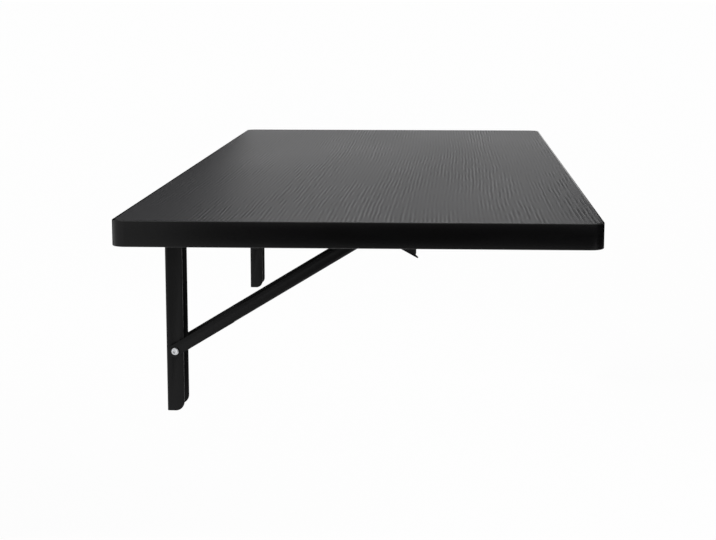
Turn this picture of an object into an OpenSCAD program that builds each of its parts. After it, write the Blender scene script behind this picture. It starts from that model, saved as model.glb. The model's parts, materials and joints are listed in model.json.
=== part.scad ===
// Wall-mounted folding workbench: a black wood-grain worktop on two steel folding brackets.
// Each bracket is a wall arm, a table arm hinged to it, a diagonal strut and a release lever.
// X runs out from the wall, Y along the wall and Z up. Millimetres.
// The origin lies on the wall plane, midway between the brackets, level with the middle wall hole.

/* [Worktop] */
// Length of the worktop along the wall
top_length = 1200; // [900:10:1500]
// Depth of the worktop, from its wall edge to its front edge
top_depth = 500; // [480:5:600]
// Thickness of the core board
core_thick = 25; // [22:1:40]
// Thickness of the wood-grain laminate on the upper face
laminate_thick = 1; // [0.6:0.1:2]
// Thickness of the backing sheet on the under face
backing_thick = 1; // [0.6:0.1:2]
// Thickness of the band round the edges
band_thick = 2.5; // [2.3:0.1:3]
// Radius of the worktop's corners, seen from above
corner_radius = 15; // [4:0.5:40]
// Radius of the band's upper and lower arrises
arris_radius = 1; // [0.5:0.1:2.2]
// How far the worktop reaches back past the wall arms
rear_overhang = 26; // [0:1:30]
// Distance from an end of the worktop to the middle of a bracket
bracket_inset = 192; // [100:1:300]

/* [Wall arm] */
// Outside width of the wall arm's channel
arm_width = 36; // [26:1:40]
// Depth of the wall arm's flanges, from the wall
arm_depth = 19.5; // [18:0.5:24]
// Distance from the worktop's underside down to the wall arm's lower end
arm_drop = 214; // [205:1:260]
// Space between the worktop's underside and the wall arm's upper end
arm_top_gap = 5; // [4:0.5:8]
// Radius of the flanges' lower outer corner
arm_corner = 10; // [4:1:14]
// Sheet thickness of the wall arm
wall_sheet = 2; // [1.5:0.1:2.5]
// Outer bend radius of the folded sheet
bend_radius = 3; // [2.6:0.1:4]
// Radius of a wall screw hole
wall_hole_radius = 3.3; // [2.2:0.1:4.5]
// Distance from the worktop's underside down to the top wall hole
wall_hole_drop = 50; // [40:1:60]
// Distance of the lowest wall hole above the wall arm's lower end
wall_hole_end = 24; // [20:1:30]

/* [Main hinge] */
// Distance of the hinge axis from the wall
hinge_out = 20; // [18:0.5:24]
// Distance of the hinge axis below the worktop's underside
hinge_drop = 20; // [18:0.5:22]
// Radius of the hinge pin
hinge_pin_radius = 3; // [2.5:0.1:3.5]
// Radius of the wall arm's ear round the hinge
wall_ear = 5.5; // [5:0.5:10]
// Radius of the table arm's ear round the hinge
table_ear = 5; // [4.5:0.5:10]
// Radius of the hinge pin's heads
hinge_head_radius = 4.8; // [4:0.1:8]
// Height of the hinge pin's heads
hinge_head_height = 2; // [1.5:0.1:4]

/* [Strut] */
// Distance of the strut's lower pivot from the wall
pivot_out = 10.5; // [9.5:0.5:12]
// Distance of the strut's lower pivot below the worktop's underside
pivot_drop = 144.5; // [142:0.5:150]
// Distance of the strut's upper pin from the wall, bench open
pin_out = 228.5; // [215:0.5:240]
// Distance of the strut's upper pin below the worktop's underside, bench open
pin_drop = 12; // [11.5:0.5:14]
// Reach of the strut's flanges above its axis
strut_above = 7.4; // [7:0.1:9]
// Reach of the strut's web below its axis
strut_below = 5.9; // [4.8:0.1:6.5]
// Radius of the strut's round ends
strut_end_radius = 7.4; // [7:0.1:8.5]
// Sheet thickness of the strut
strut_sheet = 2; // [1.5:0.1:2.5]
// Free space each side between the wall arm and the strut
strut_side_gap = 0.8; // [0.6:0.1:1.5]
// Distance past the wall arm's lower end at which the strut's web starts
web_clear = 6; // [4:0.5:12]
// Distance from the upper pin at which the strut's web ends
web_stop = 12; // [9:0.5:20]
// Shank radius of the lower pivot rivet
rivet_radius = 3.2; // [2.5:0.1:4]
// Head radius of the lower pivot rivet
rivet_head_radius = 4.1; // [3.9:0.1:6]
// Head height of the lower pivot rivet
rivet_head_height = 1.6; // [1:0.1:2.5]
// Radius of the hollow in the rivet's head
rivet_dimple = 1.3; // [0.8:0.1:2]
// Outer radius of the pivot washers
pivot_washer_radius = 6; // [5:0.1:7.5]
// Radius of the upper slide pin
pin_radius = 4; // [3:0.1:4.2]
// Outer radius of the sleeve on the slide pin
sleeve_radius = 6; // [5.2:0.1:7]

/* [Table arm] */
// Distance of the table arm's inner end from the wall
table_arm_start = 8; // [6:0.5:10]
// Length of the table arm past the outer end of its slot
table_arm_margin = 29; // [15:1:40]
// Depth of the table arm's flanges
table_arm_depth = 25; // [24.5:0.5:26]
// Radius of the table arm's lower outer corner
table_arm_corner = 12; // [6:1:20]
// Sheet thickness of the table arm
table_sheet = 2; // [1.5:0.1:2.5]
// Free space each side between the strut and the table arm
table_side_gap = 0.7; // [0.6:0.1:1.5]
// Distance of the slot's long run below the worktop's underside
slot_drop = 18; // [17:0.5:18.5]
// Distance of the first worktop screw from the wall
screw_start = 48; // [40:1:60]
// Spacing of the worktop screws
screw_pitch = 82; // [78:1:84]
// Screws in each table arm
screw_count = 5; // [3:1:5]
// Shank radius of a worktop screw
screw_radius = 2.25; // [1.75:0.05:2.5]
// Length of a worktop screw under its head
screw_length = 20; // [12:0.5:22]
// Head radius of a worktop screw
screw_head_radius = 4.4; // [3.5:0.1:5]
// Head height of a worktop screw
screw_head_height = 2.4; // [1.5:0.1:2.8]
// How much narrower a screw head is at its outer face, on the radius
screw_head_taper = 0.9; // [0.3:0.1:1.5]
// Reach of the cross recess from the screw's middle
recess_reach = 2.2; // [1.5:0.1:2.6]
// Width of one slot of the cross recess
recess_width = 1.1; // [0.8:0.1:1.4]
// Depth of the cross recess
recess_depth = 1.4; // [0.8:0.1:1.6]

/* [Release lever] */
// Distance from the strut's upper pin out to the lever's pivot
lever_reach = 27.5; // [24:0.5:34]
// Distance of the lever's pivot below the worktop's underside
lever_drop = 8; // [7.5:0.1:9]
// Thickness of the lever's plate
lever_sheet = 2.5; // [2:0.1:3]
// Radius of the lever's plate round its pivot
lever_boss = 6.3; // [5.5:0.1:6.8]
// Width of the lever's hook under the slide pin
hook_width = 4; // [3:0.1:5]
// Distance of the hook's nose below the slide pin's axis
hook_nose = 2.7; // [2:0.1:3.5]
// Radius of the lever rivet's shank
lever_rivet_radius = 2.5; // [2:0.1:3]
// Radius of the lever rivet's outer head
lever_rivet_head = 5.2; // [4.5:0.1:5.6]
// Height of the lever rivet's outer head
lever_head_height = 1.4; // [0.8:0.1:2]
// Height of the lever rivet's closed end inside the table arm
lever_tail_height = 0.5; // [0.3:0.05:0.6]
// How much the rivet's closed end stands out past its shank
lever_tail_extra = 0.9; // [0.5:0.1:1.5]
// Reach of the lever's tail past its pivot
tail_out = 28.8; // [26:0.1:34]
// Drop of the lever's tail below its pivot
tail_drop = 27; // [24:0.1:30]
// Depth of the tail straight below the pivot
tail_root = 11.7; // [9:0.1:13]
// Reach of the tail's beak past its straight outer edge
beak_reach = 3; // [1:0.1:5]
// Height of the tail's beak
beak_height = 3.9; // [3:0.1:7]
// Height of the beak's blunt end
beak_blunt = 0.9; // [0.5:0.1:1.5]
// Width of the bent finger lip on the tail
lip_width = 8; // [6:0.5:12]
// Distance of the finger lip's upper end below the pivot
lip_drop = 4.5; // [3.5:0.1:6]
// Distance of the finger lip's lower end above the tail's tip
lip_rise = 5.4; // [4.8:0.1:8]
// How far the finger lip stands out past the tail's straight edge
lip_stand = 0.6; // [0.3:0.1:1.2]
// Length of the spring's leg under the worktop
spring_leg = 14; // [10:0.5:18]
// Wire radius of the lever spring
wire_radius = 0.6; // [0.4:0.05:0.7]
// Mean radius of the lever spring's coil
coil_radius = 4; // [3.8:0.1:4.6]
// Turns in the lever spring's coil
coil_turns = 3; // [2:1:4]
// Advance of the coil in one turn
coil_pitch = 1.8; // [1.7:0.1:2.2]

/* [Clearances] */
// Glue line between the edge band and the board
glue_line = 0.05; // [0.02:0.01:0.2]
// Radial clearance between a pin and its hole
running = 0.05; // [0.02:0.01:0.08]
// Free space between a head or washer and a part that turns beside it
side_play = 0.15; // [0.1:0.05:0.25]
// Free space between the slide pin and the slot's sides
slot_play = 0.3; // [0.2:0.05:0.5]
// Free space between the slide pin's ends and the table arm's flanges
pin_end_play = 0.5; // [0.4:0.05:0.6]
// Free space between the lever's plate and the table arm
lever_play = 0.3; // [0.2:0.05:0.5]
// Free space between the lever's hook and the slide pin's outline
hook_play = 0.3; // [0.2:0.05:0.5]

/* [Hidden] */
$fn = 64;

// Spacing of the three wall holes, and height of the worktop's underside above the middle one
wall_hole_pitch = (arm_drop - wall_hole_end - wall_hole_drop) / 2;
underside = wall_hole_drop + wall_hole_pitch;
// Distance of each bracket's middle from the middle of the worktop
bracket_y = top_length / 2 - bracket_inset;
top_thick = core_thick + laminate_thick + backing_thick;

// Strut length and slope, from its two pins
strut_rise = pivot_drop - pin_drop;
strut_run = pin_out - pivot_out;
strut_length = sqrt(strut_rise * strut_rise + strut_run * strut_run);
strut_angle = atan2(strut_rise, strut_run);
strut_inside = arm_width + 2 * strut_side_gap;
strut_width = strut_inside + 2 * strut_sheet;
web_start = arm_drop - pivot_drop + web_clear;

// Where the slide pin ends up in the table arm when the worktop hangs straight down
folded_pin_x = hinge_out + hinge_drop - slot_drop;
folded_sweep = folded_pin_x - pivot_out;
folded_pin_drop = pivot_drop + sqrt(strut_length * strut_length - folded_sweep * folded_sweep);
slot_end = hinge_out + folded_pin_drop - hinge_drop;
slot_radius = pin_radius + slot_play;

table_inside = strut_width + 2 * table_side_gap;
table_width = table_inside + 2 * table_sheet;
table_arm_end = slot_end + table_arm_margin;
table_leg = max(table_arm_depth, hinge_drop + table_ear);
wall_leg = max(arm_depth, hinge_out + wall_ear);

// Outer face of the table arm and planes of the lever's parts, from the bracket's middle
table_face = table_width / 2;
lever_inner = table_face + lever_play;
lever_outer = lever_inner + lever_sheet;
coil_start = lever_outer + side_play + wire_radius;
coil_end = coil_start + coil_turns * coil_pitch;
lever_head_face = coil_end + wire_radius + side_play;

// Places of the lever's pivot, tail tip, straight outer edge and finger lip in the side view
lever_out = pin_out + lever_reach;
tail_x = lever_out + tail_out;
tail_z = -lever_drop - tail_drop;
edge_x = tail_x - beak_reach;
lip_top = -lever_drop - lip_drop;
lip_low = tail_z + lip_rise;
hook_inner = pin_radius + hook_play;
hook_outer = hook_inner + hook_width;

// How far a cutting shape passes the face it cuts
cut = 1;

// Rings of the spring's wire in one turn of the coil, and corners in each ring
coil_rings = 8;
wire_sides = 6;

// A side view in X and Z, spread along Y and centred on the bracket's middle
module across(width) {
  translate([0, width / 2, 0])
    rotate([90, 0, 0])
      linear_extrude(width)
        children();
}

// A round bar along Y from one side station to another
module crossbar(radius, from, to) {
  translate([0, to, 0])
    rotate([90, 0, 0])
      cylinder(h = to - from, r = radius);
}

// A folded sheet channel: web on X = 0, open towards +X, running up Z
module channel(width, leg, sheet, bend, run) {
  linear_extrude(run)
    difference() {
      union() {
        translate([bend, -width / 2]) square([leg - bend, width]);
        translate([0, bend - width / 2]) square([bend, width - 2 * bend]);
        for (side = [-1, 1])
          translate([bend, side * (width / 2 - bend)]) circle(bend);
      }
      translate([bend, sheet - width / 2]) square([leg, width - 2 * sheet]);
      translate([sheet, bend - width / 2]) square([bend, width - 2 * bend]);
      for (side = [-1, 1])
        translate([bend, side * (width / 2 - bend)]) circle(bend - sheet);
    }
}

// Puts a piece of the bracket at one or both ends; the far bracket is the mirror of the near one
module near_place() {
  translate([0, -bracket_y, underside]) children();
}

module far_place() {
  translate([0, bracket_y, underside]) mirror([0, 1, 0]) children();
}

// Rectangle with round corners in the worktop's place, seen from above
module board_outline(inset) {
  radius = corner_radius - inset;
  depth = top_depth - 2 * inset;
  length = top_length - 2 * inset;
  translate([inset - rear_overhang, -length / 2]) {
    translate([radius, 0]) square([depth - 2 * radius, length]);
    translate([0, radius]) square([depth, length - 2 * radius]);
    for (x = [radius, depth - radius], y = [radius, length - radius])
      translate([x, y]) circle(radius);
  }
}

// Section of the edge band: inner face on X = 0, round arrises on the outer side
module band_section() {
  intersection() {
    square([band_thick, top_thick]);
    union() {
      square([band_thick - arris_radius, top_thick]);
      translate([0, arris_radius]) square([band_thick, top_thick - 2 * arris_radius]);
      for (z = [arris_radius, top_thick - arris_radius])
        translate([band_thick - arris_radius, z]) circle(arris_radius, $fn = 32);
    }
  }
}

// One straight run of the band along X, its inner face on Y = 0 and its outer side towards +Y
module band_strip(length) {
  translate([-length / 2, 0, 0])
    rotate([90, 0, 90])
      linear_extrude(length)
        band_section();
}

// Pilot holes for the worktop screws, in both brackets' places
module screw_holes(radius, from, to) {
  for (side = [-1, 1], i = [0 : screw_count - 1])
    translate([screw_start + i * screw_pitch, side * bracket_y, underside + from])
      cylinder(h = to - from, r = radius);
}

module worktop_core() {
  color([0.42, 0.33, 0.24])
    difference() {
      translate([0, 0, underside + backing_thick])
        linear_extrude(core_thick) board_outline(band_thick + glue_line);
      screw_holes(screw_radius + running, -cut, screw_length - table_sheet + running);
    }
}

module worktop_laminate() {
  color([0.16, 0.16, 0.17])
    translate([0, 0, underside + backing_thick + core_thick])
      linear_extrude(laminate_thick) board_outline(band_thick + glue_line);
}

module worktop_backing() {
  color([0.12, 0.12, 0.12])
    difference() {
      translate([0, 0, underside])
        linear_extrude(backing_thick) board_outline(band_thick + glue_line);
      screw_holes(screw_radius + running, -cut, backing_thick + cut);
    }
}

module edge_band() {
  straight_x = top_depth - 2 * corner_radius;
  straight_y = top_length - 2 * corner_radius;
  middle_x = top_depth / 2 - rear_overhang;
  color([0.13, 0.13, 0.14])
    translate([middle_x, 0, underside]) {
      for (turn = [0, 180]) {
        rotate(turn)
          translate([0, top_length / 2 - band_thick, 0])
            band_strip(straight_x);
        rotate(turn + 90)
          translate([0, top_depth / 2 - band_thick, 0])
            band_strip(straight_y);
      }
      for (corner = [[1, 1, 0], [-1, 1, 90], [-1, -1, 180], [1, -1, 270]])
        translate([corner[0] * straight_x / 2, corner[1] * straight_y / 2, 0])
          rotate(corner[2])
            rotate_extrude(angle = 90)
              translate([corner_radius - band_thick, 0]) band_section();
    }
}

// Side view of the wall arm
module wall_arm_outline() {
  translate([0, -arm_drop]) square([arm_depth - arm_corner, arm_drop - arm_top_gap]);
  translate([0, arm_corner - arm_drop])
    square([arm_depth, arm_drop - arm_top_gap - arm_corner]);
  translate([arm_depth - arm_corner, arm_corner - arm_drop]) circle(arm_corner);
  translate([hinge_out, -hinge_drop]) circle(wall_ear);
}

module wall_arm() {
  color([0.12, 0.12, 0.125])
    difference() {
      intersection() {
        translate([0, 0, -arm_drop])
          channel(arm_width, wall_leg, wall_sheet, bend_radius, arm_drop - arm_top_gap);
        across(arm_width + 2 * cut) wall_arm_outline();
      }
      translate([hinge_out, 0, -hinge_drop])
        crossbar(hinge_pin_radius + running, -arm_width, arm_width);
      translate([pivot_out, 0, -pivot_drop])
        crossbar(rivet_radius + running, -arm_width, arm_width);
      for (i = [0 : 2])
        translate([-cut, 0, -wall_hole_drop - i * wall_hole_pitch])
          rotate([0, 90, 0]) cylinder(h = wall_sheet + 2 * cut, r = wall_hole_radius);
    }
}

// The main hinge pin: a shank through both arms with a head on each side
module hinge_pin() {
  head_face = table_width / 2 + side_play;
  color([0.2, 0.2, 0.21])
    translate([hinge_out, 0, -hinge_drop]) {
      crossbar(hinge_pin_radius, -head_face - cut, head_face + cut);
      for (turn = [90, -90])
        rotate([turn, 0, 0])
          translate([0, 0, head_face]) {
            cylinder(h = hinge_head_height / 2, r = hinge_head_radius);
            translate([0, 0, hinge_head_height / 2])
              cylinder(h = hinge_head_height / 2, r1 = hinge_head_radius,
                       r2 = hinge_head_radius - hinge_head_height / 2);
          }
    }
}

// Spacer rings that centre the wall arm between the table arm's flanges
module hinge_spacer_pair() {
  gap = (table_inside - arm_width) / 2;
  color([0.16, 0.16, 0.16])
    for (side = [-1, 1])
      translate([hinge_out, side * (arm_width / 2 + (gap - side_play) / 2), -hinge_drop])
        rotate([90, 0, 0])
          difference() {
            cylinder(h = gap - side_play, r = hinge_head_radius, center = true);
            cylinder(h = gap + cut, r = hinge_pin_radius + running, center = true);
          }
}

// The bright rivet at the strut's lower pivot, with a hollow in each head
module strut_rivet() {
  head_face = strut_width / 2 + side_play;
  color([0.85, 0.86, 0.88])
    translate([pivot_out, 0, -pivot_drop]) {
      crossbar(rivet_radius, -head_face, head_face);
      for (turn = [90, -90])
        rotate([turn, 0, 0])
          translate([0, 0, head_face])
            difference() {
              union() {
                cylinder(h = rivet_head_height / 2, r = rivet_head_radius);
                translate([0, 0, rivet_head_height / 2])
                  cylinder(h = rivet_head_height / 2, r1 = rivet_head_radius,
                           r2 = rivet_head_radius - rivet_head_height / 2);
              }
              translate([0, 0, rivet_head_height / 2])
                cylinder(h = rivet_head_height, r = rivet_dimple);
            }
    }
}

// Thin washers between the wall arm and the strut
module strut_washer_pair() {
  thick = strut_side_gap - side_play;
  color([0.16, 0.16, 0.16])
    for (side = [-1, 1])
      translate([pivot_out, side * (arm_width / 2 + thick / 2), -pivot_drop])
        rotate([90, 0, 0])
          difference() {
            cylinder(h = thick, r = pivot_washer_radius, center = true);
            cylinder(h = thick + cut, r = rivet_radius + running, center = true);
          }
}

// Puts a piece drawn along the strut's axis in its place on the bracket
module along_strut() {
  translate([pivot_out, 0, -pivot_drop]) rotate([0, -strut_angle, 0]) children();
}

// Side view of one strut flange, without the strip that the folded web takes
module strut_flange_outline() {
  difference() {
    union() {
      circle(strut_end_radius);
      translate([strut_length, 0]) circle(strut_end_radius);
      translate([0, -strut_below]) square([strut_length, strut_below + strut_above]);
    }
    translate([web_start, -strut_end_radius - cut])
      square([strut_length - web_stop - web_start,
              strut_end_radius + cut - strut_below + bend_radius]);
  }
}

module strut() {
  color([0.13, 0.13, 0.135])
    along_strut()
      difference() {
        union() {
          for (side = [-1, 1])
            translate([0, side * (strut_width - strut_sheet) / 2, 0])
              across(strut_sheet) strut_flange_outline();
          translate([strut_length - web_stop, 0, -strut_below])
            rotate([0, -90, 0])
              channel(strut_width, strut_below + strut_above, strut_sheet, bend_radius,
                      strut_length - web_stop - web_start);
        }
        crossbar(rivet_radius + running, -strut_width, strut_width);
        translate([strut_length, 0, 0])
          crossbar(pin_radius + running, -strut_width, strut_width);
      }
}

// Cross pin at the strut's upper end, which runs along the table arm's slots
module slide_pin() {
  half = table_inside / 2 - pin_end_play;
  color([0.6, 0.61, 0.63])
    along_strut()
      translate([strut_length, 0, 0]) crossbar(pin_radius, -half, half);
}

// Sleeve on the slide pin that keeps the strut's flanges apart
module slide_sleeve() {
  long = strut_inside - 2 * side_play;
  color([0.3, 0.3, 0.31])
    along_strut()
      translate([strut_length, 0, 0])
        rotate([90, 0, 0])
          difference() {
            cylinder(h = long, r = sleeve_radius, center = true);
            cylinder(h = long + cut, r = pin_radius + running, center = true);
          }
}

// Side view of the table arm
module table_arm_outline() {
  long = table_arm_end - table_arm_start;
  translate([table_arm_start, -table_arm_depth])
    square([long - table_arm_corner, table_arm_depth]);
  translate([table_arm_start, table_arm_corner - table_arm_depth])
    square([long, table_arm_depth - table_arm_corner]);
  translate([table_arm_end - table_arm_corner, table_arm_corner - table_arm_depth])
    circle(table_arm_corner);
  translate([hinge_out, -hinge_drop]) circle(table_ear);
}

// Side view of the slot: a notch above its inner end holds the pin while the bench is open
module slot_outline() {
  translate([pin_out, -pin_drop]) circle(slot_radius);
  translate([pin_out - slot_radius, -slot_drop])
    square([2 * slot_radius, slot_drop - pin_drop]);
  translate([pin_out, -slot_drop]) circle(slot_radius);
  translate([pin_out, -slot_drop - slot_radius])
    square([slot_end - pin_out, 2 * slot_radius]);
  translate([slot_end, -slot_drop]) circle(slot_radius);
}

module table_arm() {
  color([0.12, 0.12, 0.125])
    difference() {
      intersection() {
        translate([table_arm_start, 0, 0])
          rotate([0, 90, 0])
            channel(table_width, table_leg, table_sheet, bend_radius,
                    table_arm_end - table_arm_start);
        across(table_width + 2 * cut) table_arm_outline();
      }
      across(table_width + 2 * cut) slot_outline();
      translate([hinge_out, 0, -hinge_drop])
        crossbar(hinge_pin_radius + running, -table_width, table_width);
      translate([lever_out, 0, -lever_drop])
        crossbar(lever_rivet_radius + running, -table_width, 0);
      for (i = [0 : screw_count - 1])
        translate([screw_start + i * screw_pitch, 0, -table_sheet - cut])
          cylinder(h = table_sheet + 2 * cut, r = screw_radius + side_play);
    }
}

// Pan-head screws with a cross recess that hold the worktop on the table arms
module worktop_screws() {
  color([0.32, 0.32, 0.33])
    for (side = [-1, 1], i = [0 : screw_count - 1])
      translate([screw_start + i * screw_pitch, side * bracket_y, underside - table_sheet])
        difference() {
          union() {
            cylinder(h = screw_length, r = screw_radius);
            translate([0, 0, -screw_head_height])
              cylinder(h = screw_head_height, r1 = screw_head_radius - screw_head_taper,
                       r2 = screw_head_radius);
          }
          for (turn = [0, 90])
            rotate(turn)
              translate([-recess_reach, -recess_width / 2, -screw_head_height - cut])
                cube([2 * recess_reach, recess_width, cut + recess_depth]);
        }
}

// Side view of the release lever: a hook under the slide pin, a boss and a tail with a beak
module lever_outline() {
  corner = lever_boss * sin(45);
  difference() {
    union() {
      translate([pin_out, -pin_drop]) circle(hook_outer);
      translate([lever_out, -lever_drop]) circle(lever_boss);
      polygon([[pin_out, -pin_drop - hook_outer],
               [lever_out, -lever_drop - tail_root],
               [tail_x - beak_blunt, tail_z],
               [tail_x, tail_z + beak_blunt],
               [edge_x, tail_z + beak_height],
               [edge_x, lip_top],
               [lever_out + corner, corner - lever_drop],
               [lever_out, lever_boss - lever_drop],
               [pin_out, -pin_drop]]);
    }
    translate([pin_out, -pin_drop]) circle(hook_inner);
    translate([pin_out - hook_outer - cut, -pin_drop - hook_nose])
      square([hook_outer + cut + hook_inner, hook_nose + hook_outer + cut]);
  }
}

module release_lever() {
  color([0.14, 0.14, 0.145])
    difference() {
      union() {
        translate([0, -(lever_inner + lever_outer) / 2, 0])
          across(lever_sheet) lever_outline();
        translate([edge_x + lip_stand - lever_sheet, -lever_inner - lip_width, lip_low])
          cube([lever_sheet, lip_width, lip_top - lip_low]);
      }
      translate([lever_out, 0, -lever_drop])
        crossbar(lever_rivet_radius + running, -lever_outer - cut, 0);
    }
}

// Pivot rivet of one release lever, closed inside the table arm's flange
module lever_rivet() {
  inside = table_inside / 2;
  color([0.62, 0.63, 0.65])
    translate([lever_out, 0, -lever_drop]) {
      crossbar(lever_rivet_radius, -lever_head_face, -inside);
      crossbar(lever_rivet_radius + lever_tail_extra, -inside, lever_tail_height - inside);
      crossbar(lever_rivet_head, -lever_head_face - lever_head_height, -lever_head_face);
    }
}

// Route of the lever spring: one leg under the worktop, the coil, one leg over the lever's lip
coil_steps = coil_turns * coil_rings;
rest_leg = [lever_out - spring_leg, -coil_start, -wire_radius - side_play];
coil_route = [for (i = [0 : coil_steps])
  let (turn = 360 * i / coil_rings)
  [lever_out + coil_radius * sin(turn),
   -coil_start - coil_pitch * i / coil_rings,
   -lever_drop + coil_radius * cos(turn)]];
push_leg = [edge_x, -coil_end, lip_top + wire_radius + side_play];
spring_route = concat([rest_leg], coil_route, [push_leg]);

function unit(v) = v / norm(v);
function heading(p, i) =
  unit(p[min(i + 1, len(p) - 1)] - p[max(i - 1, 0)]);

// One ring of the wire, square to its route
function wire_ring(p, i) =
  let (along = heading(p, i),
       side = unit(cross(along, [0, 1, 0])),
       lift = cross(side, along))
  [for (k = [0 : wire_sides - 1])
    let (a = 360 * k / wire_sides)
    p[i] + wire_radius * (cos(a) * side + sin(a) * lift)];

// The least gap between the spring's neighbouring turns, measured on the route's points
turn_gap = min([for (i = [0 : len(spring_route) - 1], j = [0 : len(spring_route) - 1])
  if (j - i >= coil_rings / 2) norm(spring_route[i] - spring_route[j])]) - 2 * wire_radius;
echo("least gap between the lever spring's turns", turn_gap);

module lever_spring() {
  rings = len(spring_route);
  points = [for (i = [0 : rings - 1]) each wire_ring(spring_route, i)];
  n = wire_sides;
  sides = [for (i = [0 : rings - 2], k = [0 : n - 1])
    let (a = i * n + k, b = i * n + (k + 1) % n)
    each [[a, b, b + n], [a, b + n, a + n]]];
  first_cap = [for (k = [1 : n - 2]) [0, k + 1, k]];
  last_cap = [for (k = [1 : n - 2]) [0, k, k + 1] + (rings - 1) * n * [1, 1, 1]];
  color([0.7, 0.71, 0.72])
    polyhedron(points, concat(sides, first_cap, last_cap));
}

module hinge_spacers() {
  near_place() hinge_spacer_pair();
  far_place() hinge_spacer_pair();
}

module strut_washers() {
  near_place() strut_washer_pair();
  far_place() strut_washer_pair();
}

module lever_rivets() {
  near_place() lever_rivet();
  far_place() lever_rivet();
}

module wall_arm_near() {
  near_place() wall_arm();
}

module wall_arm_far() {
  far_place() wall_arm();
}

module hinge_pin_near() {
  near_place() hinge_pin();
}

module hinge_pin_far() {
  far_place() hinge_pin();
}

module strut_rivet_near() {
  near_place() strut_rivet();
}

module strut_rivet_far() {
  far_place() strut_rivet();
}

module strut_near() {
  near_place() strut();
}

module strut_far() {
  far_place() strut();
}

module slide_pin_near() {
  near_place() slide_pin();
}

module slide_pin_far() {
  far_place() slide_pin();
}

module slide_sleeve_near() {
  near_place() slide_sleeve();
}

module slide_sleeve_far() {
  far_place() slide_sleeve();
}

module table_arm_near() {
  near_place() table_arm();
}

module table_arm_far() {
  far_place() table_arm();
}

module release_lever_near() {
  near_place() release_lever();
}

module release_lever_far() {
  far_place() release_lever();
}

module lever_spring_near() {
  near_place() lever_spring();
}

module lever_spring_far() {
  far_place() lever_spring();
}

worktop_core();
worktop_laminate();
worktop_backing();
edge_band();
wall_arm_near();
wall_arm_far();
hinge_pin_near();
hinge_pin_far();
hinge_spacers();
strut_rivet_near();
strut_rivet_far();
strut_washers();
strut_near();
strut_far();
slide_pin_near();
slide_pin_far();
slide_sleeve_near();
slide_sleeve_far();
table_arm_near();
table_arm_far();
worktop_screws();
release_lever_near();
release_lever_far();
lever_rivets();
lever_spring_near();
lever_spring_far();
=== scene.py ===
"""Looks of the wall-mounted folding workbench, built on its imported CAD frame.

Each operator models one kind of piece, gives it its finish and lets it ride on its CAD body.
"""

import json
from math import cos, hypot, pi, radians, sin, tau

import bmesh
import bpy
from bpy.props import FloatProperty, FloatVectorProperty, IntProperty, PointerProperty
from mathutils import Matrix, Vector


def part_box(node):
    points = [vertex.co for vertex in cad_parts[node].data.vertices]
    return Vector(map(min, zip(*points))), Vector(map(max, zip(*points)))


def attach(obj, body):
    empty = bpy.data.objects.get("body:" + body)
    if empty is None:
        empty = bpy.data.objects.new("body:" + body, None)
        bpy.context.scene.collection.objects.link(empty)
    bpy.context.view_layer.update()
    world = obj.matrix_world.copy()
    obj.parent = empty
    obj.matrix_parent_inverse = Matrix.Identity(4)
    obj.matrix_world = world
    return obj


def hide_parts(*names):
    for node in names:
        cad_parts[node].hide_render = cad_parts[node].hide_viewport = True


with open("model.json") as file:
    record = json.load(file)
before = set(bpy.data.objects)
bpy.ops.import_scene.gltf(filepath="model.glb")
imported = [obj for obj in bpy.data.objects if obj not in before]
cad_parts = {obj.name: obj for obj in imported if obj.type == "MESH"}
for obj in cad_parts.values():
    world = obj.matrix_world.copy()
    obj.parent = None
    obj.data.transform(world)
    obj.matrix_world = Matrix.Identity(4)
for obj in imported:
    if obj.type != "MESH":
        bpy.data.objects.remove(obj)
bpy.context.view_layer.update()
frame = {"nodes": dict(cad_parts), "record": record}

bl_info = {
    "name": "Folding wall bench",
    "version": (1, 0, 0),
    "blender": (4, 5, 0),
    "location": "3D View > Sidebar > Bench",
    "description": "Models and finishes a wall-mounted folding workbench on its CAD frame",
    "category": "Add Mesh",
}

SIDES = ("near", "far")

# Black cards of the studio: middle, width and height in metres, turn about Z and lean in degrees
BLACK_CARDS = (
    ("rear_card", (-1.193, 1.0, 0.4), 2.0, 2.4, 0.0, -17.43),
    ("high_card", (0.795, 3.4, 2.494), 7.21, 2.613, 0.0, 0.0),
    ("right_card", (2.338, 2.6, 0.4), 3.125, 2.4, 0.0, 0.0),
    ("front_card", (0.965, -2.0, -0.043), 2.43, 0.674, 0.0, 0.0),
    ("side_card", (2.2, -0.4, 0.0), 3.2, 1.0, 90.0, 0.0),
)

# Camera, floor and overhead softbox; places and sizes in metres, the sensor in millimetres
SENSOR_WIDTH = 36.0
CLIP_START, CLIP_END = 0.05, 5000.0
FLOOR_SIDE = 3000.0
FLOOR_SHADE = 0.8
SOFTBOX_PLACE = (0.2, -0.4, 2.8)
SOFTBOX_TARGET = (0.2, 0.0, 0.0)
SOFTBOX_SIDE = 3.2

# Outputs of shader nodes, by their numbers
OBJECT_COORDINATES = 3
FACING_AWAY = 6
CAMERA_RAY, GLOSSY_RAY, TRANSMISSION_RAY = 0, 3, 6

# Points closer than this, in metres, are one
MERGE = 0.00002
# Edges bent by more than this, in degrees, are folds
FOLD = 35.0
# Faces bent by less than this, in degrees, are one flat face
FLAT = 0.5
# Upward share of a direction from which it counts as upright, and below which as level
UPRIGHT, LEVEL = 0.9, 0.1

TURNED_SIDES = 48
SCREW_SIDES = 32
COIL_SIDES = 24

# Shares of a quarter turn at which the rounding of a rivet's head has its rings
HEAD_RINGS = (0.35, 0.7, 1.0)
# The hinge pins' heads are rounded by so many times the other heads' rounding
HINGE_HEAD_SOFTER = 1.4
# Radius of the least ring in the middle of a head, and depths of the dimple's lip and floor
HEAD_MIDDLE = 0.0003
DIMPLE_LIP, DIMPLE_FLOOR = 0.0002, 0.0008
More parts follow.
